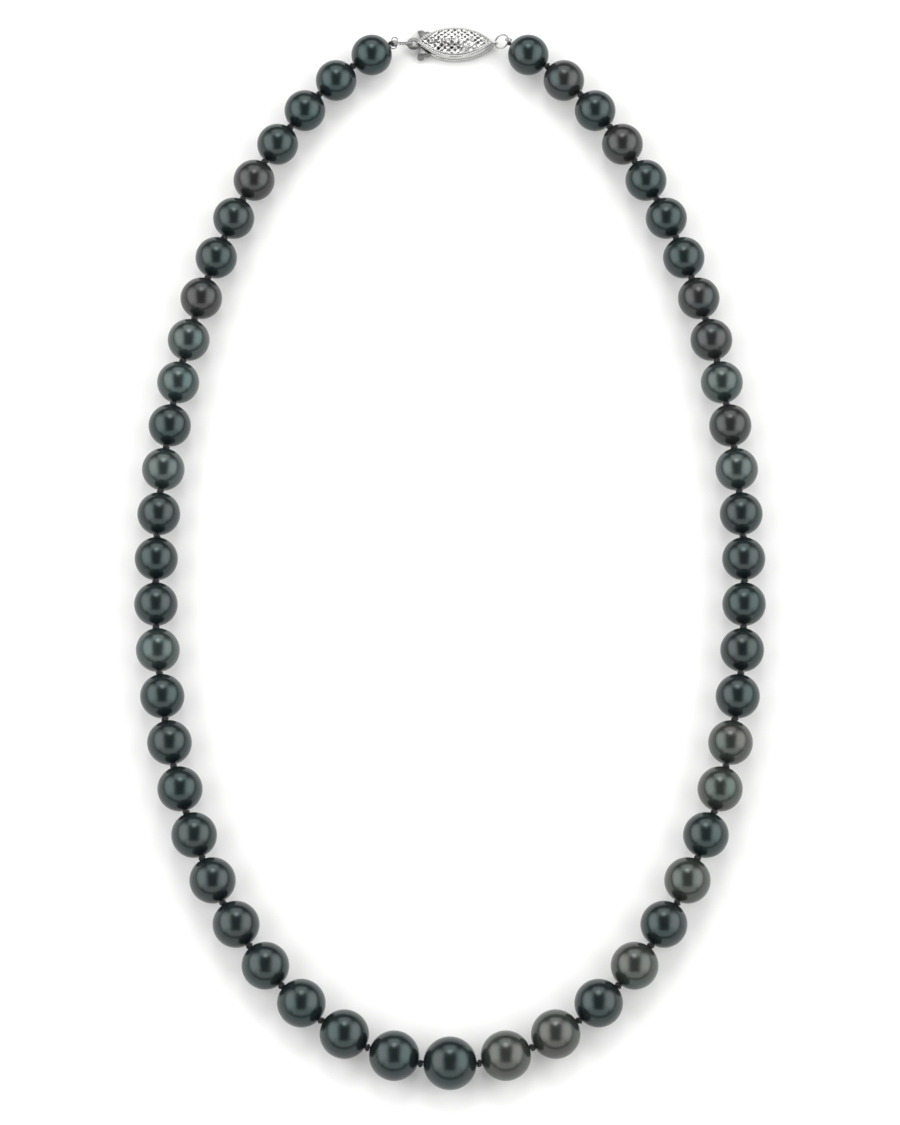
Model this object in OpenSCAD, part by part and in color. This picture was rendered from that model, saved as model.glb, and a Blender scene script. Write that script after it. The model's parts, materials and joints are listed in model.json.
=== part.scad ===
// Pearl necklace: a graduated strand of dark pearls, knotted on silk between every pair,
// closed at the back of the neck by a marquise filigree clasp with a spring hook.
// Laid flat and closed. +Z up, +Y from the centre pearl to the clasp, millimetres.
// Origin: middle of the bounding box, on the surface that the necklace lies on.

/* [Pearls] */
// Pearls on each side of the centre pearl
side_count = 26; // [26:1:26]
// Diameter of the centre pearl
centre_d = 8.66; // [8:0.01:9.5]
// Diameter that the side pearls shrink towards at the clasp
end_d = 7.05; // [6.5:0.01:7.5]
// How much bigger than that the front pearls start
grade_d = 1.28; // [0.6:0.01:1.6]
// Number of pearls over which most of the grading happens
grade_run = 7.35; // [4:0.05:12]
// Radius of the hole drilled through each pearl
bore_r = 0.4; // [0.35:0.01:0.45]

/* [Silk] */
// Free space between two pearls, which the knot fills
knot_gap = 0.81; // [0.7:0.01:1]
// Radius of a knot
knot_r = 0.48; // [0.4:0.01:0.5]
// Radius of the silk in the bore
silk_r = 0.28; // [0.2:0.01:0.3]
// Distance from a knot's middle at which the next pearl's silk begins
silk_start = 0.62; // [0.6:0.01:0.8]

/* [Lay of the strand] */
// Turn made round the front of the loop, degrees
front_turn = 75.6; // [70:0.1:80]
// Number of pearls over which the front turn fades
front_spread = 4.27; // [3.5:0.01:5]
// Steady turn at each pearl, degrees
steady_turn = 1.317; // [1.2:0.001:1.5]
// Turn made just before the clasp, degrees
back_turn = 36.4; // [32:0.1:40]
// Number of pearls over which the back turn grows
back_spread = 4.03; // [3.5:0.01:4.5]

/* [Clasp housing] */
// Length of the marquise, tip to tip
case_l = 13.4; // [13:0.1:13.6]
// Width of the marquise
case_w = 5.8; // [5.4:0.1:6.2]
// Height of the lower shell
case_h = 1.6; // [1.6:0.05:1.8]
// Rise of the filigree dome above the lower shell
dome_h = 1.7; // [1.5:0.05:2]
// Sheet thickness of the shells
sheet_t = 0.35; // [0.3:0.01:0.4]
// How far the housing sits to the right of the strand's middle line
case_x = 0.88; // [0.8:0.01:1]
// How far the clasp's middle line lies behind the last knots
clasp_back_y = 1.05; // [0.9:0.05:1.2]

/* [Hook] */
// Thickness of the tongue
tongue_t = 0.25; // [0.2:0.01:0.28]
// Half width of the tongue and its spring leaf
tongue_half = 0.5; // [0.4:0.01:0.52]
// Distance of the eyelet's middle from the housing's middle
eyelet_run = 7.25; // [7.1:0.05:7.5]
// Outer radius of the eyelet
eyelet_r = 1.15; // [1.05:0.01:1.25]
// Radius of the eyelet's hole
eyelet_hole_r = 0.48; // [0.45:0.01:0.5]
// Reach of the thumb wings to each side, measured before they are bent down
wing_reach = 3.35; // [3:0.05:3.5]
// Angle at which the wings are bent down, degrees
wing_drop = 40; // [30:1:45]

/* [Rings and end loops] */
// Mean radius of the jump ring
ring_r = 1.3; // [1.2:0.01:1.35]
// Radius of the jump ring's wire
ring_wire_r = 0.14; // [0.1:0.01:0.15]
// Tilt of the jump ring up towards the strand, degrees
ring_tilt = 30; // [25:1:40]
// Mean radius of the loop on the jump ring
right_loop_r = 0.5; // [0.48:0.01:0.55]
// Mean radius of the loop on the hook's eyelet
left_loop_r = 0.6; // [0.58:0.01:0.62]
// Radius of the loops' wire
loop_wire_r = 0.12; // [0.08:0.01:0.13]
// Radius of the tip eye's wire
eye_wire_r = 0.13; // [0.1:0.01:0.15]
// Mean radius of the tip eye
eye_r = 0.42; // [0.4:0.01:0.45]

/* [Hidden] */
$fn = 48;
fine_fn = 24;       // small wires and holes
eps = 0.01;         // overshoot of a cut
pierce = 10;        // longer than any wall that a cut goes through

// Strand. Pearls are counted by k from the centre pearl, 0, to the clasp; knot k is on the
// clasp side of pearl k. Everything is worked out on the right side and mirrored.
function pearl_d(k) = k == 0 ? centre_d : end_d + grade_d * exp(-k / grade_run);
function link_l(k) = pearl_d(k) + knot_gap;
function heading(k) = front_turn * (1 - exp(-k / front_spread)) + steady_turn * k
    + back_turn * exp((k - side_count) / back_spread);
function step(k) = link_l(k) * [cos(heading(k)), sin(heading(k))];
function knot_flat(k) = k == 0 ? [link_l(0) / 2, 0] : knot_flat(k - 1) + step(k);
function knot_z(k) = (pearl_d(k) + pearl_d(min(k + 1, side_count))) / 4;
last_knot = knot_flat(side_count);
clasp_y = last_knot[1] + clasp_back_y;
front_y = -centre_d / 2;
back_y = clasp_y + case_w / 2;
shift_y = -(front_y + back_y) / 2;
function place(flat, z, side) = [side * flat[0], flat[1] + shift_y, z];
function knot(k, side) = place(knot_flat(k), knot_z(k), side);
function middle(k) = k == 0 ? [0, 0] : knot_flat(k - 1) + step(k) / 2;

// Clasp
clasp_at = [case_x, clasp_y + shift_y, 0];
side_r = (case_l * case_l / 4 + case_w * case_w / 4) / case_w;   // radius of the marquise's sides
dome_r = (case_w * case_w / 4 + dome_h * dome_h) / (2 * dome_h); // radius across the dome
dome_axis_z = case_h + dome_h - dome_r;
tip_rise = 0.15;    // height of the dome over the lower shell at the tips
dome_drop = dome_h - tip_rise;
keel_r = (case_l * case_l / 4 + dome_drop * dome_drop) / (2 * dome_drop); // radius along the dome
lip_h = 1;          // height of the lower shell's wall beside the tongue
lip_x = -3.4;       // where that low wall begins
lattice_x = 1.15;   // pitch of the piercings along the dome
lattice_y = 0.98;   // pitch of the piercings across the dome
pierce_long = 0.46; // half length of a piercing
pierce_wide = 0.36; // half width of a piercing
rim_w = 0.62;       // unpierced width at the rim
tongue_z = 1.15;
leaf_z = 0.6;
leaf_t = 0.2;
leaf_end_x = -4.1;
bend_x = 0.4;
bend_outer_r = (tongue_z + tongue_t - leaf_z) / 2;
wing_bend_y = 1.97; // where the wings bend, just outside the lower shell
bar_x = -4.7;
bar_r = 0.15;
bar_z = 0.36;
bar_half = 1.25;
mouth_half = 0.64;  // half width of the mouth in the lower shell
eye_at = [case_l / 2 + 0.3, 0, 1.5];
loop_offset = 0.08; // a loop's middle from the wire or rim that it holds
bead_r = 0.5;       // bead on the left end loop's neck
bead_share = 0.62;  // where on the neck the bead sits
neck_r = 0.2;

pearl_colour = "#2c3438";
silk_colour = "#16181b";
gold_colour = "#d6d7d3";
shade_colour = "#a9aaa6";

function two(k) = str(k < 10 ? "0" : "", k);
function pearl_name(side, k) = str("pearl_", side < 0 ? "left_" : "right_", two(k));

// Puts its children at a with their +Z towards b
module along(a, b) {
    d = b - a;
    translate(a)
        rotate([0, acos(d[2] / norm(d)), atan2(d[1], d[0])])
            children();
}

// A straight round wire from a to b
module wire(a, b, r) {
    along(a, b) cylinder(r = r, h = norm(b - a), $fn = fine_fn);
}

// A round wire ring about Z
module torus(mean_r, wire_r) {
    rotate_extrude() translate([mean_r, 0]) circle(r = wire_r, $fn = fine_fn);
}

// Pearl and the silk that belongs to it: the stretch in its bore and the knot tied against it,
// from the knot at a, which belongs to the neighbour, to its own knot at b
module strung_pearl(centre, r, a, b, tied) {
    run = norm(b - a);
    color(pearl_colour) difference() {
        translate(centre) rotate([0, 0, 90 + atan2(b[1] - a[1], b[0] - a[0])]) sphere(r = r);
        along(a, b) cylinder(r = bore_r, h = run, $fn = fine_fn);
    }
    color(silk_colour) along(a, b) {
        translate([0, 0, silk_start])
            cylinder(r = silk_r, h = run - silk_start * (tied ? 1 : 2), $fn = fine_fn);
        if (tied) translate([0, 0, run]) sphere(r = knot_r);
    }
}

// The strand opens at the right front knot, where the first right pearl's silk ends in its bore
module side_pearl(side, k) {
    r = pearl_d(k) / 2;
    strung_pearl(place(middle(k), r, side), r, knot(k, side), knot(k - 1, side), k > 1 || side < 0);
}

module pearl_centre() {
    strung_pearl(place([0, 0], centre_d / 2, 1), centre_d / 2, knot(0, -1), knot(0, 1), true);
}

// Marquise outline: where two circles cross, drawn in by a margin
module marquise(margin) {
    intersection_for (side = [-1, 1])
        translate([0, side * (side_r - case_w / 2)]) circle(r = side_r - margin, $fn = 96);
}

// Domed body of revolution about a line along X, under which the filigree fits
module keel(inset) {
    mid_r = dome_r - inset;
    arc_r = keel_r - inset;
    translate([0, 0, dome_axis_z]) rotate([0, 90, 0])
        rotate_extrude($fn = 96) intersection() {
            translate([mid_r - arc_r, 0]) circle(r = arc_r, $fn = 96);
            translate([0, -case_l]) square([case_l, 2 * case_l]);
        }
}

module clasp_base() {
    color(shade_colour) translate(clasp_at) {
        difference() {
            linear_extrude(case_h) marquise(0);
            translate([0, 0, sheet_t]) linear_extrude(case_h) marquise(sheet_t);
            // low wall and mouth at the hook's end
            translate([lip_x - pierce, -pierce / 2, lip_h]) cube([pierce, pierce, pierce]);
            translate([-case_l, -mouth_half, sheet_t]) cube([case_l / 2 + 1, 2 * mouth_half, pierce]);
        }
        translate(eye_at) rotate([90, 0, 0]) torus(eye_r, eye_wire_r);
    }
}

// Dome over the lower shell, pierced in a diamond lattice
module filigree_top() {
    rows = 2;
    columns = 5;
    color(gold_colour) translate(clasp_at) difference() {
        intersection() {
            translate([0, 0, case_h]) linear_extrude(case_h + dome_h) marquise(0);
            keel(0);
        }
        intersection() {
            translate([0, 0, case_h - eps]) linear_extrude(case_h + dome_h) marquise(sheet_t);
            keel(sheet_t);
        }
        for (i = [-2 * columns : 2 * columns], j = [-2 * rows : 2 * rows]) {
            x = i * lattice_x / 2;
            y = j * lattice_y / 2;
            edge = sqrt(side_r * side_r - x * x) - side_r + case_w / 2;
            if ((i + j) % 2 == 0 && abs(y) < edge - rim_w)
                translate([x, y, case_h + 0.3]) linear_extrude(pierce)
                    polygon([[pierce_long, 0], [0, pierce_wide], [-pierce_long, 0], [0, -pierce_wide]]);
        }
    }
}

// Bar across the mouth, over which the hook's spring leaf snaps
module catch_bar() {
    color(shade_colour) translate(clasp_at + [bar_x, bar_half, bar_z]) rotate([90, 0, 0])
        cylinder(r = bar_r, h = 2 * bar_half, $fn = fine_fn);
}

// Tongue with an eyelet and two thumb wings, folded back under itself as a spring leaf
module hook() {
    color(gold_colour) translate(clasp_at) {
        translate([0, 0, tongue_z]) linear_extrude(tongue_t) difference() {
            union() {
                translate([-eyelet_run, 0]) circle(r = eyelet_r);
                translate([-eyelet_run, -tongue_half]) square([eyelet_run + bend_x, 2 * tongue_half]);
                for (side = [-1, 1]) intersection() {
                    thumb_wing(side);
                    square([2 * case_l, 2 * wing_bend_y], center = true);
                }
            }
            translate([-eyelet_run, 0]) circle(r = eyelet_hole_r, $fn = fine_fn);
        }
        for (side = [-1, 1]) bent_wing(side);
        translate([leaf_end_x, -tongue_half, leaf_z])
            cube([bend_x - leaf_end_x, 2 * tongue_half, leaf_t]);
        translate([bend_x, tongue_half, tongue_z + tongue_t - bend_outer_r]) rotate([90, 0, 0])
            linear_extrude(2 * tongue_half) difference() {
                circle(r = bend_outer_r);
                circle(r = bend_outer_r - leaf_t);
                translate([-2 * bend_outer_r, -bend_outer_r]) square(2 * bend_outer_r);
            }
    }
}

// Outline of two rounded lobes on one side of the tongue
module thumb_wing(side) {
    lobe_r = 0.62;
    outer_x = -6;
    inner_x = -4.85;
    root_x = -5.9;
    root_l = 1.2;
    inner_reach = wing_reach - 0.6;
    translate([outer_x, side * (wing_reach - lobe_r)]) circle(r = lobe_r);
    translate([inner_x, side * (inner_reach - lobe_r)]) circle(r = lobe_r);
    translate([root_x, side < 0 ? lobe_r - wing_reach : 0]) square([root_l, wing_reach - lobe_r]);
}

// The outer part of a wing, bent down towards the surface
module bent_wing(side) {
    translate([0, side * wing_bend_y, tongue_z + tongue_t]) rotate([-side * wing_drop, 0, 0])
        translate([0, -side * wing_bend_y, -tongue_t]) linear_extrude(tongue_t) intersection() {
            thumb_wing(side);
            translate([-case_l, side < 0 ? -pierce - wing_bend_y : wing_bend_y]) square([case_l, pierce]);
        }
}

ring_dir = [cos(ring_tilt), 0, sin(ring_tilt)];
function ring_point(share) = clasp_at + eye_at + 2 * ring_r * share * ring_dir;

module jump_ring() {
    color(gold_colour) translate(ring_point(0.5)) rotate([0, -ring_tilt, 0])
        torus(ring_r, ring_wire_r);
}

// Wire loop about Y at the given middle, with a neck to the last knot
module end_loop(at, loop_r, side) {
    end = knot(side_count, side);
    slope = atan2(end[2] - at[2], side * (end[0] - at[0]));
    start = at + loop_r * [side * cos(slope), 0, sin(slope)];
    run = end - start;
    across = 90 + atan2(run[1], run[0]);
    color(gold_colour) {
        translate(at) rotate([90, 0, 0]) torus(loop_r, loop_wire_r);
        wire(start, end, neck_r);
        if (side < 0) translate(start + bead_share * run) rotate([0, 0, across]) sphere(r = bead_r);
    }
    color(silk_colour) translate(end) rotate([0, 0, across]) sphere(r = knot_r);
}

module end_loop_left() {
    rim_x = eyelet_run + (eyelet_r + eyelet_hole_r) / 2;
    end_loop(clasp_at + [-rim_x, 0, tongue_z + tongue_t / 2], left_loop_r, -1);
}

module end_loop_right() {
    end_loop(ring_point(1) + loop_offset * ring_dir, right_loop_r, 1);
}

clasp_base();
filigree_top();
catch_bar();
hook();
jump_ring();
end_loop_left();
end_loop_right();
pearl_centre();
for (side = [-1, 1], k = [1 : side_count])
    side_pearl(side, k);
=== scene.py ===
import json
import math

import bpy
from mathutils import Matrix, Vector, noise
from mathutils.geometry import tessellate_polygon

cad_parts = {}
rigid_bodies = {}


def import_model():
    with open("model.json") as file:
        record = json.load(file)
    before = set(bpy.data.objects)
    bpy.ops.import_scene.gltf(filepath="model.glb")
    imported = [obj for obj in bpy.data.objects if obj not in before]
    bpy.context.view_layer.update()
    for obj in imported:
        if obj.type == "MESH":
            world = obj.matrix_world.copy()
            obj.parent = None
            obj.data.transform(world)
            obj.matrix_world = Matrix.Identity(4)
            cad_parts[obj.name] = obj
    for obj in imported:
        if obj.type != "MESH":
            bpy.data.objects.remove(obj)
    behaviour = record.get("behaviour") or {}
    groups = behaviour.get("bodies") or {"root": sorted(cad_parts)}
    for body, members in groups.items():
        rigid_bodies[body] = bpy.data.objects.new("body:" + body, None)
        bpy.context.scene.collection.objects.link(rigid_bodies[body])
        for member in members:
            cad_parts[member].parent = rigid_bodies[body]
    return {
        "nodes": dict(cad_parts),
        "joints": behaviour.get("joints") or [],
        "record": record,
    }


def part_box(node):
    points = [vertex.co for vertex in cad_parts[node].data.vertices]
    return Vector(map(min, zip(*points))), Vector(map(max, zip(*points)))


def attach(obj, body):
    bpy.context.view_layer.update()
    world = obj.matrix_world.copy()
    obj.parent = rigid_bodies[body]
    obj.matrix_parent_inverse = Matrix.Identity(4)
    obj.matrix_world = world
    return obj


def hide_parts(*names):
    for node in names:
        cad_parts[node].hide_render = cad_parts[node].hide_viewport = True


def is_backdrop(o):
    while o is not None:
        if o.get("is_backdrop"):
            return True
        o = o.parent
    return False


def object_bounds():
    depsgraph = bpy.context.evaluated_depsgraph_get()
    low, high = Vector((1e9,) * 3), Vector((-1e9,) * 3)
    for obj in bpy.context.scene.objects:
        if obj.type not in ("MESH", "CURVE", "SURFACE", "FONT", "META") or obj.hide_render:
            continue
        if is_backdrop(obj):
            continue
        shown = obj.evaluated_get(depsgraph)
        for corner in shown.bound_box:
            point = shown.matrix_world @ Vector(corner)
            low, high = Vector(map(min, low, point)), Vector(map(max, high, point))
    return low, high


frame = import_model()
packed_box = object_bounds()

# Every piece is modelled in millimetres and made at this scale.
MM = 0.001
TURN = 2 * math.pi


# ---------------------------------------------------------------- mesh tools


def grid_faces(rows, columns, wrap_rows=False):
    """Quads over rows of points, where each row closes on itself."""
    faces = []
    for i in range(rows if wrap_rows else rows - 1):
        for j in range(columns):
            a, b = i * columns, (i + 1) % rows * columns
            k = (j + 1) % columns
            faces.append((a + j, a + k, b + k, b + j))
    return faces


def joined(shapes):
    """One shape, a list of points and one of faces, out of several."""
    points, faces = [], []
    for more_points, more_faces in shapes:
        start = len(points)
        points += more_points
        faces += [tuple(start + i for i in face) for face in more_faces]
    return points, faces


def moved(shape, matrix):
    points, faces = shape
    return [matrix @ Vector(p) for p in points], faces


def lathe(profile, around, closed=False):
    """A profile of (radius, height) turned about Z. An open one gets flat ends."""
    points = []
    for radius, height in profile:
        for j in range(around):
            turn = TURN * j / around
            points.append(Vector((radius * math.cos(turn), radius * math.sin(turn), height)))
    faces = grid_faces(len(profile), around, wrap_rows=closed)
    if not closed:
        faces.append(tuple(reversed(range(around))))
        faces.append(tuple(range((len(profile) - 1) * around, len(points))))
    return points, faces


def ball(radius, around=12):
    """A small round bead."""
    rings = around // 2
    profile = []
    for i in range(rings + 1):
        turn = math.pi * (i + 0.15) / (rings + 0.3)
        profile.append((radius * math.sin(turn), -radius * math.cos(turn)))
    return lathe(profile, around)


def sweep(path, section, closed=False):
    """section(share of the path) gives (sideways, up) offsets, carried along the path."""
    count = len(path)
    rows = []
    side = None
    for i, point in enumerate(path):
        after = path[(i + 1) % count] if closed else path[min(i + 1, count - 1)]
        before = path[i - 1] if closed or i else path[0]
        ahead = (after - before).normalized()
        if side is None:
            side = ahead.orthogonal().normalized()
        else:
            side = (side - ahead * side.dot(ahead)).normalized()
        rise = side.cross(ahead)
        rows.append([point + side * a + rise * b for a, b in section(i / count)])
    points = [p for row in rows for p in row]
    faces = grid_faces(count, len(rows[0]), wrap_rows=closed)
    if not closed:
        faces.append(tuple(reversed(range(len(rows[0])))))
        faces.append(tuple(range(len(points) - len(rows[0]), len(points))))
    return points, faces


def round_section(radius, corners=12):
    return lambda share: [
        (radius * math.cos(TURN * j / corners), radius * math.sin(TURN * j / corners))
        for j in range(corners)
    ]


def corded_section(radius, plies, twists, corners=18):
    """A round section with a groove between each two plies, twisting along the path."""

    def section(share):
        ring = []
        for j in range(corners):
            turn = TURN * j / corners
            lobe = abs(math.cos(plies * (turn - TURN * twists * share) / 2))
            reach = radius * (0.78 + 0.22 * lobe ** 0.7)
            ring.append((reach * math.cos(turn), reach * math.sin(turn)))
        return ring

    return section


def circle_path(radius, count, start=0.0, end=1.0):
    """Points of a circle about Z, or of the part of it between two shares of a turn."""
    spread = count if end - start >= 1 else count - 1
    turns = [TURN * (start + (end - start) * i / spread) for i in range(count)]
    return [Vector((radius * math.cos(t), radius * math.sin(t), 0)) for t in turns]


def helix_path(a, b, radius, turns, per_turn=14, phase=0.0):
    """A coil of the given radius about the line from a to b."""
    ahead = (b - a).normalized()
    side = ahead.orthogonal().normalized()
    rise = ahead.cross(side)
    count = int(turns * per_turn) + 1
    path = []
    for i in range(count):
        turn = TURN * (turns * i / (count - 1) + phase)
        centre = a.lerp(b, i / (count - 1))
        path.append(centre + radius * (side * math.cos(turn) + rise * math.sin(turn)))
    return path


def straight(a, b, count=2):
    return [a.lerp(b, i / (count - 1)) for i in range(count)]


def make(name, shape, body, material, place=Matrix(), smooth=True):
    """A piece of the object, riding on a CAD body."""
    points, faces = shape
    mesh = bpy.data.meshes.new(name)
    mesh.from_pydata([Vector(p) * MM for p in points], [], faces)
    mesh.polygons.foreach_set("use_smooth", [smooth] * len(mesh.polygons))
    mesh.materials.append(material)
    piece = bpy.data.objects.new(name, mesh)
    bpy.context.scene.collection.objects.link(piece)
    piece.matrix_world = place
    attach(piece, body)
    return piece


def facing(centre, direction):
    """Where a piece stands whose own +Z points in a direction."""
    turn = direction.to_track_quat("Z", "Y").to_matrix().to_4x4()
    return Matrix.Translation(centre) @ turn


# ----------------------------------------------------------------- materials


class Nodes:
    """Short names for building a material's node tree."""

    def __init__(self, name):
        self.material = bpy.data.materials.new(name)
        self.material.use_nodes = True
        self.tree = self.material.node_tree
        self.surface = self.tree.nodes["Principled BSDF"]

    def add(self, kind, links=(), **values):
        node = self.tree.nodes.new(kind)
        for key, value in values.items():
            setattr(node, key, value)
        for socket, source in dict(links).items():
            if isinstance(source, bpy.types.NodeSocket):
                self.tree.links.new(source, node.inputs[socket])
            else:
                node.inputs[socket].default_value = source
        return node

    def set(self, **values):
        for name, value in values.items():
            socket = self.surface.inputs[name.replace("_", " ")]
            if isinstance(value, bpy.types.NodeSocket):
                self.tree.links.new(value, socket)
            else:
                socket.default_value = value

    def own_place(self):
        return self.add("ShaderNodeTexCoord").outputs["Object"]

    def noise(self, scale, detail=3.0, vector=None):
        links = {"Vector": vector or self.own_place(), "Scale": scale, "Detail": detail}
        return self.add("ShaderNodeTexNoise", links).outputs["Fac"]

    def ramp(self, factor, *stops):
        node = self.add("ShaderNodeValToRGB", {"Fac": factor})
        while len(node.color_ramp.elements) < len(stops):
            node.color_ramp.elements.new(0.5)
        for element, (position, colour) in zip(node.color_ramp.elements, stops):
            element.position = position
            element.color = (*colour, 1)
        return node.outputs["Color"]

    def span(self, factor, low, high):
        links = {"Value": factor, "To Min": low, "To Max": high}
        return self.add("ShaderNodeMapRange", links).outputs["Result"]

    def own(self, name):
        """A number that each object carries."""
        node = self.add("ShaderNodeAttribute", attribute_type="OBJECT", attribute_name=name)
        return node.outputs["Fac"]

    def mixed(self, factor, a, b, how="MIX"):
        node = self.add("ShaderNodeMix", data_type="RGBA", blend_type=how)
        for socket, value in ((node.inputs[0], factor), (node.inputs[6], a), (node.inputs[7], b)):
            if isinstance(value, bpy.types.NodeSocket):
                self.tree.links.new(value, socket)
            else:
                socket.default_value = (*value, 1) if isinstance(value, tuple) else value
        return node.outputs[2]

    def bump(self, height, strength, distance):
        links = {"Height": height, "Strength": strength, "Distance": distance}
        return self.add("ShaderNodeBump", links).outputs["Normal"]


def nacre(name, deep, pale, overtones, lustre=1.5):
    """Pearl: a dark body under a lustrous skin whose reflections drift in hue."""
    n = Nodes(name)
    place = n.own_place()
    shift = n.add("ShaderNodeCombineXYZ", {"X": n.own("drift")}).outputs["Vector"]
    spot = n.add("ShaderNodeVectorMath", {0: place, 1: shift}, operation="ADD").outputs["Vector"]
    clouds = n.noise(260, 2, spot)
    body = n.mixed(n.span(clouds, 0.0, 1.0), deep, pale)
    tone = n.own("tone")
    n.set(
        Base_Color=n.mixed(tone, body, pale),
        Roughness=n.span(n.noise(700, 3, spot), 0.18, 0.27),
        IOR=lustre,
        Specular_Tint=n.ramp(n.noise(170, 1, spot), *overtones),
        Normal=n.bump(n.noise(2200, 2, spot), 0.25, 0.00002),
    )
    return n.material


def metal(name, colour, rough, grain, strength, recess_shade=0.0):
    """White metal with fine scratches and, in its recesses, painted shade: ambient occlusion darkens the
    colour there.
    """
    n = Nodes(name)
    place = n.own_place()
    smears = n.noise(900, 4, place)
    shade = n.mixed(n.span(smears, 0.0, 0.25), colour, tuple(c * 0.75 for c in colour))
    # Painted shade: where ambient occlusion finds a recess, the base colour is darkened.
    if recess_shade:
        ao_openness = n.add("ShaderNodeAmbientOcclusion", {"Distance": 0.0006}, samples=8).outputs["AO"]
        unshaded_share = n.ramp(ao_openness, (0.25, (0, 0, 0)), (0.8, (1, 1, 1)))
        shaded_colour = tuple(c * (1 - recess_shade) for c in colour)
        shade = n.mixed(unshaded_share, shaded_colour, shade)
    n.set(
        Base_Color=shade,
        Metallic=1.0,
        Roughness=n.span(smears, rough * 0.75, rough * 1.3),
        Normal=n.bump(n.noise(grain, 2, place), strength, 0.00002),
    )
    return n.material


def silk():
    """Black silk cord, fine fibres with a soft shine."""
    n = Nodes("silk_black")
    fibres = n.noise(9000, 3)
    n.set(
        Base_Color=n.ramp(fibres, (0.3, (0.002, 0.002, 0.0025)), (0.7, (0.009, 0.009, 0.01))),
        Roughness=0.5,
        Sheen_Weight=0.06,
        Sheen_Roughness=0.4,
        Normal=n.bump(fibres, 0.4, 0.00003),
    )
    return n.material


def floor_white():
    """A plain matt white surface."""
    n = Nodes("floor_white")
    n.set(Base_Color=(0.71, 0.71, 0.705, 1), Roughness=0.8)
    return n.material


TEAL, GREEN, SILVER = (0.68, 0.97, 0.95), (0.76, 1.0, 0.9), (0.98, 1.0, 0.94)
LOOKS = {
    "pearl_black": nacre(
        "nacre_black", (0.003, 0.0045, 0.005), (0.006, 0.009, 0.0095),
        [(0.3, (0.84, 0.92, 0.93)), (0.48, (0.76, 0.97, 0.94)), (0.7, TEAL)],
        lustre=1.53,
    ),
    "pearl_green": nacre(
        "nacre_green", (0.005, 0.008, 0.0076), (0.012, 0.0175, 0.0165),
        [(0.3, TEAL), (0.5, (0.86, 1.0, 0.95)), (0.7, GREEN)],
        lustre=1.66,
    ),
    "pearl_grey": nacre(
        "nacre_grey", (0.0085, 0.0102, 0.009), (0.0175, 0.02, 0.0175),
        [(0.3, (0.98, 0.95, 0.9)), (0.5, SILVER), (0.7, GREEN)],
        lustre=1.63,
    ),
    "pearl_plum": nacre(
        "nacre_plum", (0.006, 0.0058, 0.0062), (0.012, 0.0118, 0.012),
        [(0.3, (0.94, 0.93, 0.94)), (0.55, (0.92, 0.97, 0.96)), (0.75, TEAL)],
        lustre=1.53,
    ),
    # The filigree and the shell get painted shade in their recesses.
    "filigree": metal("filigree_silver", (0.56, 0.56, 0.545), 0.16, 5000, 0.15, recess_shade=0.85),
    "clasp_shell": metal("shell_satin", (0.66, 0.66, 0.645), 0.2, 6000, 0.3, recess_shade=0.75),
    "hook_sheet": metal("hook_sheet_satin", (0.15, 0.15, 0.147), 0.28, 7000, 0.4),
    "ring_wire": metal("ring_wire_bright", (0.3, 0.3, 0.295), 0.16, 6000, 0.15),
}
SILK = silk()


# ------------------------------------------------------------ pearls and silk


def strand():
    """For each body along the strand, the knot tied against it and the one beyond its pearl."""
    tied, beyond = {}, {}
    for joint in frame["joints"]:
        if joint["name"].startswith("knot_"):
            tied[joint["parent"]] = Vector(joint["pos_m"])
            beyond[joint["child"]] = Vector(joint["pos_m"])
    left_front = beyond["pearl_centre"]
    tied["pearl_centre"] = Vector((-left_front.x, left_front.y, left_front.z))
    return tied, beyond


def pearl_shape(radius, bore, seed):
    """A drilled pearl about Z, not quite round."""
    rows, around = 52, 96
    lip = 0.07
    edge = math.asin((bore + lip) / radius)
    profile = [(bore, -radius * 0.9), (bore, -radius * math.cos(edge) + lip * 0.6)]
    for i in range(rows):
        turn = edge + (math.pi - 2 * edge) * i / (rows - 1)
        profile.append((radius * math.sin(turn), -radius * math.cos(turn)))
    profile += [(bore, radius * math.cos(edge) - lip * 0.6), (bore, radius * 0.9)]
    points, faces = lathe(profile, around, closed=True)
    for p in points:
        if p.length > radius * 0.97:
            at = p / radius
            wave = noise.noise(at * 1.1 + seed) + 0.35 * noise.noise(at * 3.1 + seed)
            p *= 1 - 0.006 * abs(wave)
    return points, faces


def knot_shape(radius, length, seed):
    """An overhand knot of twisted cord, drawn tight about Z."""
    cord = radius * 0.34
    middle = radius - cord * 1.62
    count = 132
    path = []
    for i in range(count):
        t = TURN * i / count
        reach = middle + 0.62 * cord * math.cos(3 * t)
        turn = 2 * t + seed
        height = (length / 2 - cord) * math.sin(3 * t)
        path.append(Vector((reach * math.cos(turn), reach * math.sin(turn), height)))
    return sweep(path, corded_section(cord, 3, 7), closed=True)


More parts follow.
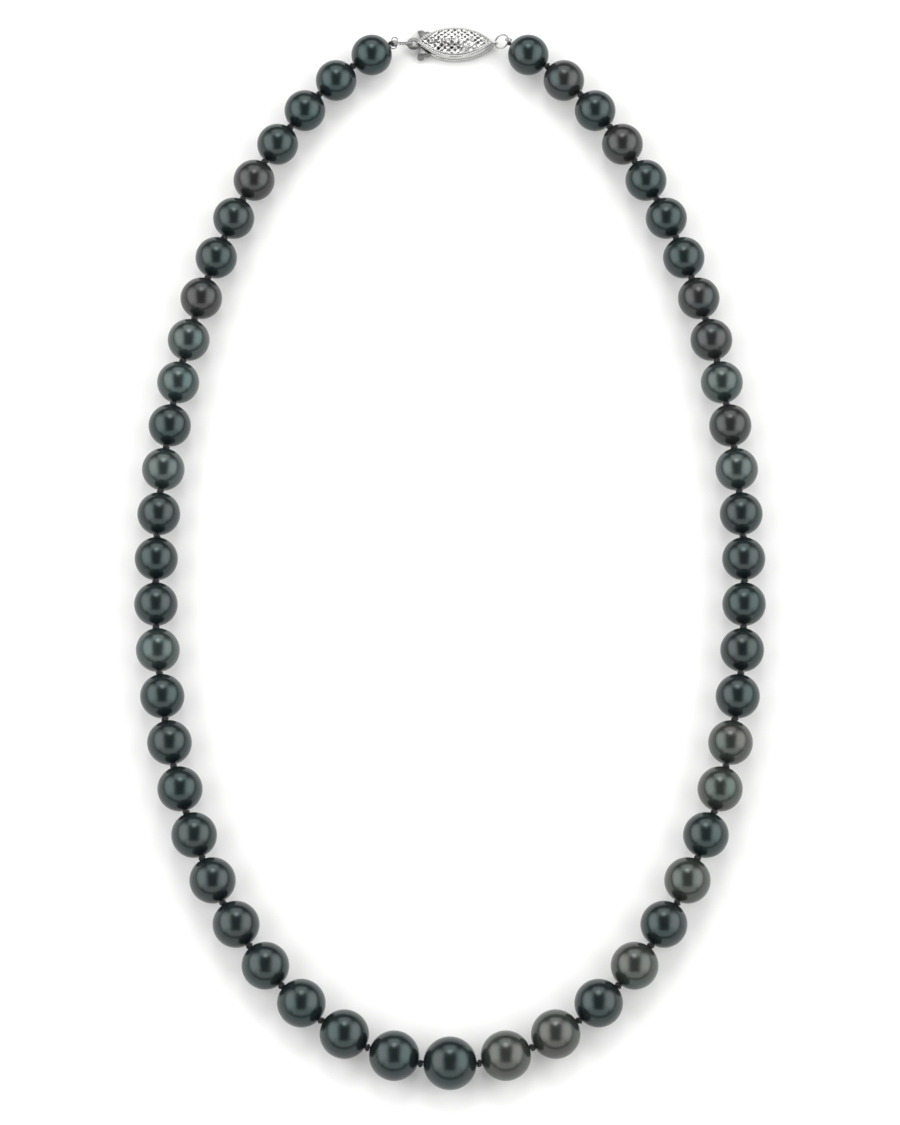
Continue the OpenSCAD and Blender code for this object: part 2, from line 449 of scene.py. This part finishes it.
def make_pearl(node, tied, beyond, index):
    """A pearl and, as a piece of its own, the silk through it with the knot against it."""
    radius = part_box(node)[1].z / 2 / MM
    slot = next(m["material_slot"] for m in frame["record"]["subparts"] if m["node"] == node)
    far = beyond[node]
    near = tied.get(node) or tied["pearl_centre"]
    ahead = (near - far).normalized()
    middle = (near + far) / 2
    centre = Vector((middle.x, middle.y, radius * MM))
    seed = Vector((3.1, 1.7, 5.3)) * (index + 1)
    roll = Matrix.Rotation(2.4 * index, 4, "Z")
    place = facing(centre, ahead) @ roll
    pearl = make(
        f"{node}_nacre", pearl_shape(radius, 0.4, seed), node, LOOKS[slot], place
    )
    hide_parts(node)
    pearl["drift"] = 0.05 * index
    pearl["tone"] = 0.5 + 0.5 * noise.noise(seed * 0.37)

    run = (near - far).length / MM
    start = Vector((0, 0, -run / 2 + 0.62))
    end = Vector((0, 0, run / 2 if node in tied else run / 2 - 0.62))
    thread = sweep(straight(start, end, 40), corded_section(0.27, 3, 5, 12))
    shapes = [thread]
    if node in tied:
        knot = knot_shape(0.66, 0.78, 1.3 * index)
        shapes.append(moved(knot, Matrix.Translation((0, 0, run / 2))))
    make(f"{node}_silk", joined(shapes), node, SILK, facing(middle, ahead))


# -------------------------------------------------------------------- clasp


class Marquise:
    """The housing's outline and dome, in its own millimetres, read off the CAD part."""

    def __init__(self):
        low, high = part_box("filigree_top")
        size = (high - low) / MM
        self.centre = Vector(((low.x + high.x) / 2, (low.y + high.y) / 2, 0))
        self.half, self.width, self.base, self.rise = size.x / 2, size.y, low.z / MM, size.z
        self.side_r = (self.half**2 + self.width**2 / 4) / self.width
        self.across_r = (self.width**2 / 4 + self.rise**2) / (2 * self.rise)
        drop = self.rise - 0.15
        self.along_r = (self.half**2 + drop**2) / (2 * drop)
        self.place = Matrix.Translation(self.centre)

    def edge(self, x, margin=0.0):
        """Half the outline's width at x, drawn in by a margin."""
        inside = (self.side_r - margin) ** 2 - x * x
        return math.sqrt(max(inside, 0)) - self.side_r + self.width / 2

    def reach(self, margin=0.0):
        """Half the outline's length, drawn in by a margin."""
        return math.sqrt((self.side_r - margin) ** 2 - (self.side_r - self.width / 2) ** 2)

    def height(self, x, y):
        """Height of the dome over a point."""
        ring = self.across_r - self.along_r + math.sqrt(self.along_r**2 - x * x)
        over = math.sqrt(max(ring * ring - y * y, 0))
        return self.base + self.rise - self.across_r + over

    def on_dome(self, x, y, lift=0.0):
        return Vector((x, y, self.height(x, y) + lift))

    def normal(self, x, y):
        d = 0.05
        slope_x = (self.height(x + d, y) - self.height(x - d, y)) / (2 * d)
        slope_y = (self.height(x, y + d) - self.height(x, y - d)) / (2 * d)
        return Vector((-slope_x, -slope_y, 1)).normalized()

    def outline(self, margin, count):
        """Evenly spread (x, y) points once round the outline, from the right tip."""
        centre_y = self.side_r - self.width / 2
        half_turn = math.asin(self.reach(margin) / (self.side_r - margin))
        found = []
        for side in (1, -1):
            for i in range(count // 2):
                turn = half_turn * (1 - 4 * i / count) * side
                x = (self.side_r - margin) * math.sin(turn) * side
                y = ((self.side_r - margin) * math.cos(turn) - centre_y) * side
                found.append((x * side, y))
        return found


def rim_band(case):
    """The plain band of the dome's rim."""
    count = 240
    section = ((0.02, 0.0), (0.0, 0.12), (0.1, None), (0.34, None), (0.56, None), (0.6, -0.2), (0.3, 0.0))
    points = []
    rings = [case.outline(margin, count) for margin, _ in section]
    for i in range(count):
        for ring, (margin, lift) in zip(rings, section):
            x, y = ring[i]
            top = case.height(x, y) - 0.03
            z = top if lift is None else case.base + lift if lift >= 0 else top + lift
            points.append(Vector((x, y, z)))
    return points, grid_faces(count, len(section), wrap_rows=True)


def milgrain(case):
    """Beads all round the rim, with a rope of twisted wire inside them."""
    beads = []
    for x, y in case.outline(0.25, 66):
        beads.append(moved(ball(0.2, 12), Matrix.Translation(case.on_dome(x, y, -0.03))))
    line = [case.on_dome(x, y, -0.06) for x, y in case.outline(0.52, 480)]
    return joined(beads + [sweep(line, corded_section(0.11, 2, 60, 10), closed=True)])


# Half the distance between crossings of the filigree, along the clasp and across it.
PITCH_X, PITCH_Y = 0.575, 0.49


def lattice(case):
    """Two sets of slanting wires that follow the dome."""
    wires = []
    for slant in (-1, 1):
        for line in range(-15, 16, 2):
            path = []
            for i in range(-90, 91):
                y = i * 0.03
                x = PITCH_X * (line - slant * y / PITCH_Y)
                if abs(x) < case.reach(0.5) and abs(y) < case.edge(x, 0.5):
                    path.append(case.on_dome(x, y, -0.13 - 0.03 * slant))
            if len(path) > 4:
                wires.append(sweep(path, round_section(0.125, 8)))
    return joined(wires)


def cells(case, parity, margin):
    """Crossings of the lattice, or with parity 0 the middles of its openings."""
    for i in range(-12, 13):
        for j in range(-5, 6):
            x, y = i * PITCH_X, j * PITCH_Y
            if (i + j) % 2 == parity and abs(x) < case.reach(margin):
                if abs(y) < case.edge(x, margin):
                    yield i, j, x, y


def is_rosette(i, j):
    return j == 0 and i % 4 == 1


def bright_cuts(case):
    """A faceted pyramid on every crossing, each with its table tipped its own way."""
    studs = []
    for i, j, x, y in cells(case, 1, 0.62):
        if is_rosette(i, j):
            continue
        lean_x = 0.16 * math.sin(5.1 * i + 2.3 * j)
        lean_y = 0.16 * math.cos(3.7 * i - 4.9 * j)
        points = []
        for share, lift in ((1.0, -0.14), (0.96, -0.02), (0.42, 0.14)):
            for a, b in ((0.46, 0), (0, 0.39), (-0.46, 0), (0, -0.39)):
                tip = lean_x * a + lean_y * b if lift > 0 else 0
                points.append(Vector((a * share, b * share, lift + tip)))
        faces = grid_faces(3, 4) + [(3, 2, 1, 0), (8, 9, 10, 11)]
        place = Matrix.Translation(case.on_dome(x, y, -0.1)) @ upright_on(case, x, y)
        studs.append(moved((points, faces), place))
    return joined(studs)


def upright_on(case, x, y):
    """Tilts a motif so that it stands square to the dome, without turning it about its axis."""
    return Vector((0, 0, 1)).rotation_difference(case.normal(x, y)).to_matrix().to_4x4()


def rosettes(case):
    """Flowers along the dome's middle: a ring, a bead and six petals."""
    found = []
    for i, j, x, y in cells(case, 1, 0.62):
        if not is_rosette(i, j):
            continue
        place = Matrix.Translation(case.on_dome(x, y, -0.04)) @ upright_on(case, x, y)
        ring = sweep(circle_path(0.34, 28), round_section(0.08, 8), closed=True)
        found.append(moved(ring, place))
        found.append(moved(ball(0.12, 12), place))
        for petal in range(6):
            turn = Matrix.Rotation(TURN * petal / 6, 4, "Z") @ Matrix.Translation((0.2, 0, 0))
            found.append(moved(ball(0.065, 8), place @ turn))
    return joined(found)


def shell_wall(case, mouth):
    """The lower shell's fluted wall, lower beside the hook and open at the mouth."""
    count = 600
    thick = 0.35
    outer, inner = case.outline(0, count), case.outline(thick, count)
    lip_x, lip_h, high = -3.4, 1.0, case.base - 0.06
    keep = [i for i, (x, y) in enumerate(outer) if not (x < 0 and abs(y) < mouth)]
    first = next(n for n, i in enumerate(keep) if n and keep[n - 1] != i - 1)
    order = keep[first:] + keep[:first]
    points = []
    for i in order:
        (x, y), (u, v) = outer[i], inner[i]
        share = min(max((x - lip_x + 0.1) / 0.2, 0), 1)
        top = lip_h + (high - lip_h) * share * share * (3 - 2 * share)
        flute = 0.3 if i % 6 < 2 else 0.0
        section = (
            (0.3, 0.0), (0.05, 0.06), (0.0, 0.2), (flute, 0.36), (flute, top - 0.34),
            (0.0, top - 0.24), (0.0, top - 0.08), (0.15, top), (0.85, top), (1.0, top - 0.08),
            (1.0, 0.3),
        )
        for a, z in section:
            points.append(Vector((x + (u - x) * a, y + (v - y) * a, z)))
    width = len(section)
    faces = grid_faces(len(order), width)
    faces.append(tuple(reversed(range(width))))
    faces.append(tuple(range(len(points) - width, len(points))))
    return points, faces


def gallery(case, mouth):
    """Two rows of beads round the lower shell's wall, lower beside the hook."""
    beads = []
    for x, y in case.outline(0.02, 84):
        if x < 0 and abs(y) < mouth + 0.15:
            continue
        for z in (0.3, 0.72) if x > -3.5 else (0.42,):
            beads.append(moved(ball(0.17, 10), Matrix.Translation(Vector((x, y, z)))))
    return joined(beads)


def shell_floor(case):
    """The plate that closes the lower shell's underside."""
    outline = case.outline(0.08, 160)
    points, faces = [], []
    for margin, z in ((0.3, 0.0), (0.12, 0.04), (0.05, 0.16), (0.12, 0.34), (0.4, 0.35)):
        points += [Vector((x, y, z)) for x, y in case.outline(margin, len(outline))]
    faces = grid_faces(5, len(outline))
    faces.append(tuple(reversed(range(len(outline)))))
    faces.append(tuple(range(4 * len(outline), 5 * len(outline))))
    return points, faces


def make_housing(case):
    body = "clasp_housing"
    shell = make(
        "clasp_shell_wall", shell_wall(case, 0.64), body, LOOKS["clasp_shell"],
        case.place,
    )
    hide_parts("clasp_base")
    make("clasp_shell_floor", shell_floor(case), body, LOOKS["clasp_shell"], case.place)
    make("clasp_gallery", gallery(case, 0.64), body, LOOKS["clasp_shell"], case.place)
    band = make("filigree_rim", rim_band(case), body, LOOKS["filigree"], case.place)
    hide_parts("filigree_top")
    make("filigree_milgrain", milgrain(case), body, LOOKS["filigree"], case.place)
    make("filigree_lattice", lattice(case), body, LOOKS["filigree"], case.place)
    make(
        "filigree_bright_cuts", bright_cuts(case), body, LOOKS["filigree"],
        case.place, smooth=False,
    )
    make("filigree_rosettes", rosettes(case), body, LOOKS["filigree"], case.place)
    make_tip_eye(case)
    make_catch_bar()


def make_tip_eye(case):
    """The small eye soldered to the tip, with its solder fillet."""
    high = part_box("clasp_base")[1]
    radius, wire = 0.42, 0.13
    centre = Vector((high.x - (radius + wire) * MM, case.centre.y, 1.5 * MM))
    upright = Matrix.Translation(centre) @ Matrix.Rotation(math.pi / 2, 4, "X")
    ring = sweep(circle_path(radius, 32), round_section(wire), closed=True)
    fillet = moved(ball(0.24, 14), Matrix.Translation((-radius, -0.05, 0)))
    make("tip_eye", joined([ring, fillet]), "clasp_housing", LOOKS["clasp_shell"], upright)


def make_catch_bar():
    """The bar across the mouth, a wire with burnished ends."""
    low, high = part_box("catch_bar")
    radius = (high.z - low.z) / 2 / MM
    half = (high.y - low.y) / 2 / MM
    profile = [(radius * 0.55, -half), (radius * 0.9, -half + 0.04), (radius, -half + 0.12)]
    profile += [(r, -z) for r, z in reversed(profile)]
    place = Matrix.Translation((low + high) / 2) @ Matrix.Rotation(math.pi / 2, 4, "X")
    bar = make(
        "catch_bar_wire", lathe(profile, 24), "clasp_housing", LOOKS["clasp_shell"],
        place,
    )
    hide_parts("catch_bar")


# ---------------------------------------------------------------------- hook


def capsule(a, b, radius):
    """Distance of a flat point from a thick rounded line."""

    def distance(p):
        along = b - a
        share = min(max((p - a).dot(along) / along.length_squared, 0), 1) if along.length else 0
        return (p - a - along * share).length - radius

    return distance


def blended(distances, softness):
    """Several shapes in one, with fillets where they meet."""

    def distance(p):
        total = sum(math.exp(-d(p) / softness) for d in distances)
        return -softness * math.log(total)

    return distance


def contours(distance, low, high, step):
    """Closed outlines along which a distance is zero, by marching squares."""
    columns, rows = int((high.x - low.x) / step) + 1, int((high.y - low.y) / step) + 1
    value = [
        [distance(Vector((low.x + i * step, low.y + j * step))) for i in range(columns)]
        for j in range(rows)
    ]
    follow, where = {}, {}

    def crossing(a, b):
        (i, j), (k, m) = a, b
        key = (min(a, b), max(a, b))
        share = value[j][i] / (value[j][i] - value[m][k])
        x, y = i + (k - i) * share, j + (m - j) * share
        where[key] = Vector((low.x + x * step, low.y + y * step))
        return key

    for j in range(rows - 1):
        for i in range(columns - 1):
            corners = [(i, j), (i + 1, j), (i + 1, j + 1), (i, j + 1)]
            inside = [value[y][x] < 0 for x, y in corners]
            leave, enter = [], []
            for c in range(4):
                d = (c + 1) % 4
                if inside[c] != inside[d]:
                    (leave if inside[c] else enter).append(crossing(corners[c], corners[d]))
            follow.update(zip(leave, enter))
    loops = []
    while follow:
        key = next(iter(follow))
        loop = []
        while key in follow:
            loop.append(where[key])
            key = follow.pop(key)
        loops.append(loop)
    return sorted(loops, key=len, reverse=True)


def even(loop, step):
    """The same closed outline with evenly spaced points."""
    lengths = [(loop[i] - loop[i - 1]).length for i in range(len(loop))]
    total = sum(lengths)
    count = max(int(total / step), 8)
    found, i, passed = [], 0, 0.0
    for k in range(count):
        goal = total * k / count
        while passed + lengths[i] < goal:
            passed += lengths[i]
            i += 1
        share = (goal - passed) / max(lengths[i], 1e-9)
        found.append(loop[i - 1].lerp(loop[i], share))
    return found


def sheet(loops, low, high, rounding):
    """Sheet metal of the given outlines between two heights, its edges rounded."""
    points, faces = [], []
    ends = []
    for loop in loops:
        count = len(loop)
        start = len(points)
        steps = ((1.0, low), (0.3, low + 0.3 * rounding), (0.0, low + rounding),
                 (0.0, high - rounding), (0.3, high - 0.3 * rounding), (1.0, high))
        for inward, z in steps:
            for i, p in enumerate(loop):
                ahead = (loop[(i + 1) % count] - loop[i - 1]).normalized()
                q = p + Vector((-ahead.y, ahead.x)) * inward * rounding
                points.append(Vector((q.x, q.y, z)))
        faces += [tuple(start + k for k in f) for f in grid_faces(len(steps), count)]
        ends.append((start, start + (len(steps) - 1) * count, count))
    for level in (0, 1):
        indexes = [end[level] + i for end in ends for i in range(end[2])]
        rings = [[points[end[level] + i] for i in range(end[2])] for end in ends]
        for triangle in tessellate_polygon(rings):
            faces.append(tuple(indexes[t] for t in triangle))
    return points, faces


def make_hook(case):
    """Stamped sheet: an eyelet, two thumb wings bent down and the folded spring leaf."""
    low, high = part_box("hook")
    eyelet_r, hole_r, half, thick = 1.15, 0.48, 0.5, 0.25
    top = high.z / MM
    eyelet_x = (low.x - case.centre.x) / MM + eyelet_r
    # The tongue's fold, the line where the wings bend down, and their reach while still flat.
    bend_x, bend_y, reach = 0.4, 1.97, 3.35

    def at(x, y):
        return Vector((x, y))

    arms = [capsule(at(eyelet_x, 0), at(eyelet_x + 0.01, 0), eyelet_r),
            capsule(at(eyelet_x, 0), at(bend_x - half, 0), half)]
    for side in (-1, 1):
        arms.append(capsule(at(-5.25, 0.3 * side), at(-6.0, (reach - 0.62) * side), 0.6))
        arms.append(capsule(at(-5.15, 0.3 * side), at(-4.85, (reach - 1.22) * side), 0.58))
    body = blended(arms, 0.07)
    hole = capsule(at(eyelet_x, 0), at(eyelet_x + 0.01, 0), hole_r)

    def plate(p):
        return max(body(p), -hole(p), abs(p.y) - bend_y)

    lower, upper = at(eyelet_x - 1.4, -reach - 0.3), at(bend_x + 0.4, reach + 0.3)
    loops = contours(plate, lower, upper, 0.06)[:2]
    shapes = [sheet([even(loop, 0.09) for loop in loops], top - thick, top, 0.07)]
    for side in (-1, 1):
        loop = contours(lambda p: max(body(p), bend_y - 0.06 - p.y * side), lower, upper, 0.06)[0]
        wing = sheet([even(loop, 0.09)], -thick, 0, 0.07)
        hinge = Vector((0, side * bend_y, 0))
        drop = Matrix.Rotation(math.radians(-40 * side), 4, "X")
        place = Matrix.Translation(hinge + Vector((0, 0, top))) @ drop @ Matrix.Translation(-hinge)
        shapes.append(moved(wing, place))
    hook = make("hook_plate", joined(shapes), "hook", LOOKS["hook_sheet"], case.place)
    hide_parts("hook")
    leaf = leaf_shape(bend_x, half - 0.02, top, 0.6)
    make("hook_spring_leaf", leaf, "hook", LOOKS["hook_sheet"], case.place)


def leaf_shape(bend_x, half, top, bottom):
    """The tongue's end folded under itself, as a strip of rounded section."""
    thick = 0.2
    radius = (top - bottom - thick) / 2
    middle = (top + bottom) / 2
    path = [Vector((bend_x - 0.4, 0, top - thick / 2))]
    for i in range(13):
        turn = math.pi * (0.5 - i / 12)
        path.append(Vector((bend_x + radius * math.cos(turn), 0, middle + radius * math.sin(turn))))
    path += [Vector((x, 0, bottom + thick / 2)) for x in (-1.0, -2.0, -3.0, -3.9)]
    path.append(Vector((-4.1, 0, bottom + thick / 2 + 0.03)))
    a, b = half, thick / 2
    ring = [(-a, -b * 0.5), (-a * 0.95, -b), (a * 0.95, -b), (a, -b * 0.5),
            (a, b * 0.5), (a * 0.95, b), (-a * 0.95, b), (-a, b * 0.5)]
    rows = []
    for i, point in enumerate(path):
        ahead = (path[min(i + 1, len(path) - 1)] - path[max(i - 1, 0)]).normalized()
        rise = Vector((0, 1, 0)).cross(ahead)
        rows += [point + Vector((0, s, 0)) + rise * t for s, t in ring]
    faces = grid_faces(len(path), 8)
    faces.append(tuple(reversed(range(8))))
    faces.append(tuple(range(len(rows) - 8, len(rows))))
    return rows, faces


# ---------------------------------------------------------- rings and loops


def make_jump_ring():
    """A ring of round wire, cut where it was opened and pressed shut."""
    low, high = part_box("jump_ring")
    centre = (low + high) / 2
    wire = 0.14
    radius = (high.y - low.y) / 2 / MM - wire
    tilt = math.atan2(high.z - low.z - 2 * wire * MM, high.x - low.x - 2 * wire * MM)
    path = circle_path(radius, 90, 0.305, 1.295)
    ring = sweep(path, round_section(wire, 14))
    place = Matrix.Translation(centre) @ Matrix.Rotation(-tilt, 4, "Y")
    piece = make("jump_ring_wire", ring, "jump_ring", LOOKS["ring_wire"], place)
    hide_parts("jump_ring")


def loop_frame(body, joint_name):
    """A loop's pivot, the knot its neck runs to, and the direction between them."""
    pivot = next(Vector(j["pos_m"]) for j in frame["joints"] if j["name"] == joint_name)
    knot = next(
        Vector(j["pos_m"])
        for j in frame["joints"]
        if j["name"].startswith("knot_") and j["parent"] == body
    )
    return pivot, knot


def make_end_loop_right():
    """French wire: a loop covered in a fine coil, its tail wound down to the knot."""
    pivot, knot = loop_frame("end_loop_right", "end_loop_right_turn")
    radius = 0.5
    low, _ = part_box("end_loop_right")
    centre = Vector((low.x + 0.62 * MM, pivot.y, pivot.z))
    to_knot = (knot - centre) / MM
    core = sweep(circle_path(radius, 40), round_section(0.07, 8), closed=True)
    coil = []
    for i in range(34 * 8):
        turn = TURN * i / (34 * 8)
        small = 34 * turn
        reach = radius + 0.075 * math.cos(small)
        coil.append(Vector((reach * math.cos(turn), reach * math.sin(turn), 0.075 * math.sin(small))))
    coil = sweep(coil, round_section(0.035, 6), closed=True)
    upright = Matrix.Rotation(math.pi / 2, 4, "X")
    start, end = to_knot.normalized() * radius, to_knot * 0.86
    tail = sweep(straight(start, end), round_section(0.12, 10))
    wound = sweep(helix_path(start, end, 0.14, 9), round_section(0.05, 6))
    shapes = [moved(core, upright), moved(coil, upright), tail, wound]
    piece = make("end_loop_right_wire", joined(shapes), "end_loop_right", LOOKS["ring_wire"],
                 Matrix.Translation(centre))
    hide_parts("end_loop_right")
    make_end_knot("end_loop_right", knot, to_knot)


def make_end_loop_left():
    """Two wires twisted together from the eyelet, closed by a small wound coil."""
    pivot, knot = loop_frame("end_loop_left", "end_loop_left_turn")
    radius = 0.6
    _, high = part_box("end_loop_left")
    centre = Vector((high.x - 0.72 * MM, pivot.y, pivot.z))
    to_knot = (knot - centre) / MM
    ring = sweep(circle_path(radius, 48), round_section(0.11, 10), closed=True)
    upright = Matrix.Rotation(math.pi / 2, 4, "X")
    start = to_knot.normalized() * (radius - 0.02)
    share = 0.78
    cluster = start.lerp(to_knot, share)
    end = to_knot * 0.93
    shapes = [moved(ring, upright)]
    for phase in (0.0, 0.5):
        shapes.append(sweep(helix_path(start, end, 0.22, 2.5, 24, phase), round_section(0.11, 8)))
    ahead = to_knot.normalized()
    turns = helix_path(cluster - ahead * 0.42, cluster + ahead * 0.38, 0.45, 3.6, 20)
    shapes.append(sweep(turns, round_section(0.11, 8)))
    link = sweep(circle_path(0.5, 30), round_section(0.1, 8), closed=True)
    for offset, lean in ((Vector((0.1, 0.6, 0.1)), 0.5), (Vector((-0.1, -0.5, -0.25)), -0.4)):
        shapes.append(moved(link, Matrix.Translation(cluster + offset) @ Matrix.Rotation(lean, 4, "X")))
    piece = make("end_loop_left_wire", joined(shapes), "end_loop_left", LOOKS["ring_wire"],
                 Matrix.Translation(centre))
    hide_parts("end_loop_left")
    make_end_knot("end_loop_left", knot, to_knot)


def make_end_knot(body, knot, ahead):
    place = facing(knot, ahead.normalized())
    make(f"{body}_knot", knot_shape(0.42, 0.62, 0.7), body, SILK, place)


# --------------------------------------------------------------------- stage


def make_floor():
    """A pale surface that the necklace lies on."""
    mesh = bpy.data.meshes.new("floor")
    size = 3.0
    corners = [(-size, -size, 0), (size, -size, 0), (size, size, 0), (-size, size, 0)]
    mesh.from_pydata(corners, [], [(0, 1, 2, 3)])
    mesh.materials.append(floor_white())
    floor = bpy.data.objects.new("floor", mesh)
    bpy.context.scene.collection.objects.link(floor)
    floor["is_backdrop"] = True


def softbox(name, direction, distance, width, height, radiance, feather=0.25):
    """A soft light of a given brightness that fades towards its edges, aimed at the necklace."""
    lamp = bpy.data.lights.new(name, "AREA")
    lamp.shape = "RECTANGLE"
    lamp.size, lamp.size_y = width, height
    lamp.energy = radiance * math.pi * width * height
    fade_edges(lamp, feather)
    light = bpy.data.objects.new(name, lamp)
    bpy.context.scene.collection.objects.link(light)
    light.matrix_world = facing(Vector(direction).normalized() * distance, Vector(direction))
    light.visible_camera = False


def fade_edges(lamp, feather):
    lamp.use_nodes = True
    tree = lamp.node_tree
    across = tree.nodes.new("ShaderNodeSeparateXYZ")
    tree.links.new(tree.nodes.new("ShaderNodeNewGeometry").outputs["Parametric"], across.inputs[0])
    shares = []
    for axis in "XY":
        inward = tree.nodes.new("ShaderNodeMath")
        inward.operation = "PINGPONG"
        inward.inputs[1].default_value = 0.5
        tree.links.new(across.outputs[axis], inward.inputs[0])
        rise = tree.nodes.new("ShaderNodeMapRange")
        rise.interpolation_type = "SMOOTHSTEP"
        rise.inputs["From Max"].default_value = feather
        tree.links.new(inward.outputs[0], rise.inputs["Value"])
        shares.append(rise.outputs["Result"])
    both = tree.nodes.new("ShaderNodeMath")
    both.operation = "MULTIPLY"
    tree.links.new(shares[0], both.inputs[0])
    tree.links.new(shares[1], both.inputs[1])
    tree.links.new(both.outputs[0], tree.nodes["Emission"].inputs["Strength"])


def make_light():
    for side, name in ((-1, "softbox_left"), (1, "softbox_right")):
        softbox(name, (0.78 * side, -0.02, 0.56), 0.9, 2.3, 1.35, 3.6, 0.38)
    softbox("softbox_back", (0, 0.52, 0.86), 0.95, 0.5, 0.5, 5.6, 0.4)
    softbox("back_wall", (0, 0.7, 0.6), 1.1, 1.3, 0.95, 2.3)
    softbox("softbox_front", (0, -0.9, 0.44), 1.0, 1.8, 0.62, 1.7, 0.15)
    world = bpy.data.worlds.new("studio")
    world.use_nodes = True
    bpy.context.scene.world = world
    tree = world.node_tree
    shade = tree.nodes["Background"]
    shade.inputs["Strength"].default_value = 1.0
    ray = tree.nodes.new("ShaderNodeLightPath")
    mix = tree.nodes.new("ShaderNodeMix")
    mix.data_type = "RGBA"
    mix.inputs[6].default_value = (0.13, 0.13, 0.13, 1)
    mix.inputs[7].default_value = (0.93, 0.93, 0.93, 1)
    tree.links.new(ray.outputs["Is Camera Ray"], mix.inputs[0])
    tree.links.new(mix.outputs[2], shade.inputs["Color"])


def make_camera():
    """The photo's high view from the front, with a long lens."""
    lens = bpy.data.cameras.new("camera")
    lens.lens, lens.sensor_width = 160, 36
    camera = bpy.data.objects.new("camera", lens)
    bpy.context.scene.collection.objects.link(camera)
    lift = math.radians(69.82)
    back = Vector((0, -math.cos(lift), math.sin(lift)))
    camera.matrix_world = facing(Vector((0, -0.00346, 0)) + back * 0.8414, back)
    bpy.context.scene.camera = camera


tied, beyond = strand()
nodes = sorted(n for n in frame["nodes"] if n.startswith("pearl_"))
for index, node in enumerate(nodes):
    make_pearl(node, tied, beyond, index)
housing = Marquise()
make_housing(housing)
make_hook(housing)
make_jump_ring()
make_end_loop_left()
make_end_loop_right()
make_floor()
make_light()
make_camera()
bpy.context.scene.view_settings.view_transform = "Standard"

boxes = {"packed": packed_box, "shown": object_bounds()}
{name: [list(corner) for corner in box] for name, box in boxes.items()}
